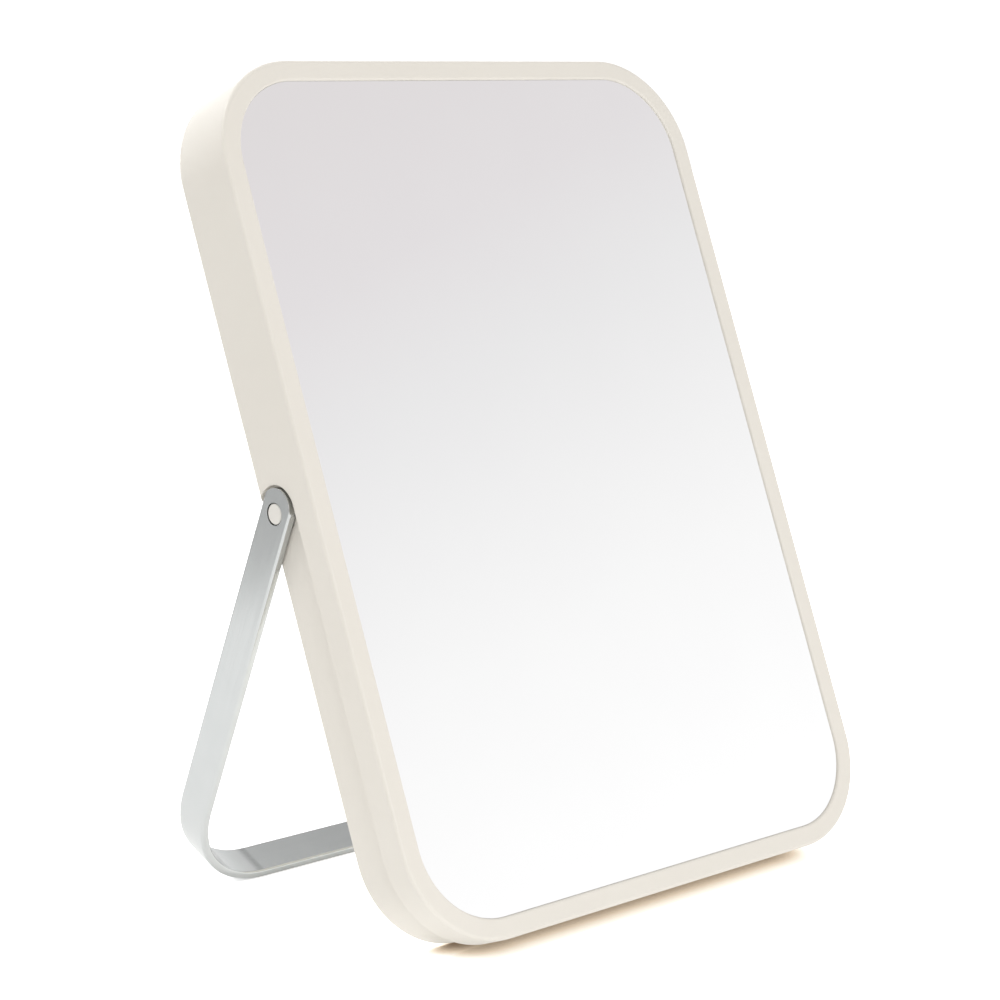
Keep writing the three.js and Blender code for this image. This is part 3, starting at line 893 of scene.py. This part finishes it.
def make_floor():
    """A white sweep, which looks different to the camera and to the object that it lights."""
    corners = [(-1, -1), (1, -1), (1, 1), (-1, 1)]
    bm = bmesh.new()
    bm.faces.new([bm.verts.new((x * FLOOR_HALF, y * FLOOR_HALF, 0)) for x, y in corners])
    floor = solid("floor", bm)
    material = bpy.data.materials.new("floor")
    material.use_nodes = True
    g = Graph(material.node_tree)
    place = g.add("ShaderNodeTexCoord").outputs["Object"]
    depth = g.add("ShaderNodeSeparateXYZ", {0: place}).outputs["Y"]
    ray = g.add("ShaderNodeLightPath").outputs["Is Camera Ray"]
    mix = g.add("ShaderNodeMixShader", {0: ray, 1: lit_floor(g, place, depth), 2: seen_floor(g, depth)})
    g.add("ShaderNodeOutputMaterial", {"Surface": mix.outputs[0]})
    floor.data.materials.append(material)


def by_elevation(stops):
    """Ramp stops by height, from (elevation in degrees, colour) pairs."""
    return [(math.sin(math.radians(elevation)), color) for elevation, color in stops]


def towards(g, direction, target, sector):
    """How much a direction points at a target: 0 to 1 as its cosine goes through the sector."""
    cosine = g.add("ShaderNodeVectorMath", {0: direction, 1: target}, operation="DOT_PRODUCT")
    return g.spread(cosine.outputs["Value"], 0.0, 1.0, *sector)


def make_world():
    """A studio that the camera sees plain white, and whose light has a brightness by direction.

    In front on the right, where the mirror looks, the light falls off upwards.
    """
    world = bpy.data.worlds.new("studio")
    bpy.context.scene.world = world
    world.use_nodes = True
    g = Graph(world.node_tree)
    direction = g.add("ShaderNodeTexCoord").outputs["Generated"]
    height = g.add("ShaderNodeSeparateXYZ", {0: direction}).outputs["Z"]
    front = ramp(g, height, by_elevation([
        (12.5, grey(1.065)),
        (18.0, grey(0.985)),
        (24.0, (0.85, 0.845, 0.85)),
        (27.0, (0.80, 0.775, 0.785)),
        (31.0, (0.77, 0.74, 0.745)),
        (60.0, grey(0.80)),
    ]))
    around = ramp(g, height, by_elevation([
        (0.0, grey(0.67)),
        (30.0, grey(0.65)),
        (48.0, grey(0.70)),
        (60.0, grey(0.70)),
        (80.0, grey(0.80)),
    ]))
    far_side = ramp(g, height, by_elevation([
        (0.0, grey(0.97)),
        (38.0, grey(0.90)),
        (44.0, grey(0.42)),
        (48.0, grey(0.42)),
        (51.0, grey(0.90)),
    ]))
    around = g.blend(towards(g, direction, FAR_SIDE, FAR_SIDE_SECTOR), around, far_side)
    sides_and_front = g.blend(towards(g, direction, MIRROR_LOOKS, MIRROR_SECTOR), around, front)
    behind = towards(g, direction, BACKDROP, BACKDROP_SECTOR)
    lit_color = g.blend(behind, sides_and_front, grey(BACKLIGHT))
    seen = g.add("ShaderNodeBackground", {"Color": (*grey(1.0), 1.0), "Strength": SEEN_SKY})
    lit = g.add("ShaderNodeBackground", {"Color": lit_color, "Strength": 1.0})
    ray = g.add("ShaderNodeLightPath").outputs["Is Camera Ray"]
    mix = g.add("ShaderNodeMixShader", {0: ray, 1: lit.outputs[0], 2: seen.outputs[0]})
    g.add("ShaderNodeOutputWorld", {"Surface": mix.outputs[0]})


def add_softbox(name, place, target, size, power):
    """A round soft light that points from its place at a target."""
    lamp = bpy.data.lights.new(name, "AREA")
    lamp.shape = "DISK"
    lamp.size = size
    lamp.energy = power
    light = bpy.data.objects.new(name, lamp)
    bpy.context.scene.collection.objects.link(light)
    light.location = place
    light.rotation_mode = "QUATERNION"
    light.rotation_quaternion = (Vector(target) - Vector(place)).to_track_quat("-Z", "Y")


CAMERA_PLACE = (-0.49588, -0.52467, 0.21755)
CAMERA_YAW = math.radians(43.047)
CAMERA_PITCH = math.radians(9.397)
CAMERA_ROLL = math.radians(-0.781)
LENS_MM = 92.86
SENSOR_MM = 36
SHIFT_X = -0.0064
SHIFT_Y = 0.0325


def make_camera():
    """The camera, from its place and its turns about the vertical, sideways and viewing axes."""
    forward = Vector((
        math.sin(CAMERA_YAW) * math.cos(CAMERA_PITCH),
        math.cos(CAMERA_YAW) * math.cos(CAMERA_PITCH),
        -math.sin(CAMERA_PITCH),
    ))
    level = Vector((math.cos(CAMERA_YAW), -math.sin(CAMERA_YAW), 0))
    upward = level.cross(forward)
    right = level * math.cos(CAMERA_ROLL) + upward * math.sin(CAMERA_ROLL)
    up = upward * math.cos(CAMERA_ROLL) - level * math.sin(CAMERA_ROLL)
    data = bpy.data.cameras.new("camera")
    data.lens = LENS_MM
    data.sensor_width = SENSOR_MM
    data.shift_x = SHIFT_X
    data.shift_y = SHIFT_Y
    camera = bpy.data.objects.new("camera", data)
    bpy.context.scene.collection.objects.link(camera)
    axes = Matrix((right, up, -forward)).transposed()
    camera.matrix_world = Matrix.Translation(CAMERA_PLACE) @ axes.to_4x4()
    bpy.context.scene.camera = camera


make_floor()
make_world()
add_softbox("top_left", (-0.5, 0.6, 1.2), (-0.08, 0.02, 0.2), 0.5, 6.0)
add_softbox("front", (-0.35, -1.3, 0.45), (0, -0.05, 0.05), 0.7, 5.0)
add_softbox("back", (0.45, 0.95, 0.14), (0, 0, 0.12), 0.5, 1.5)
make_camera()
bpy.context.scene.view_settings.view_transform = "Standard"
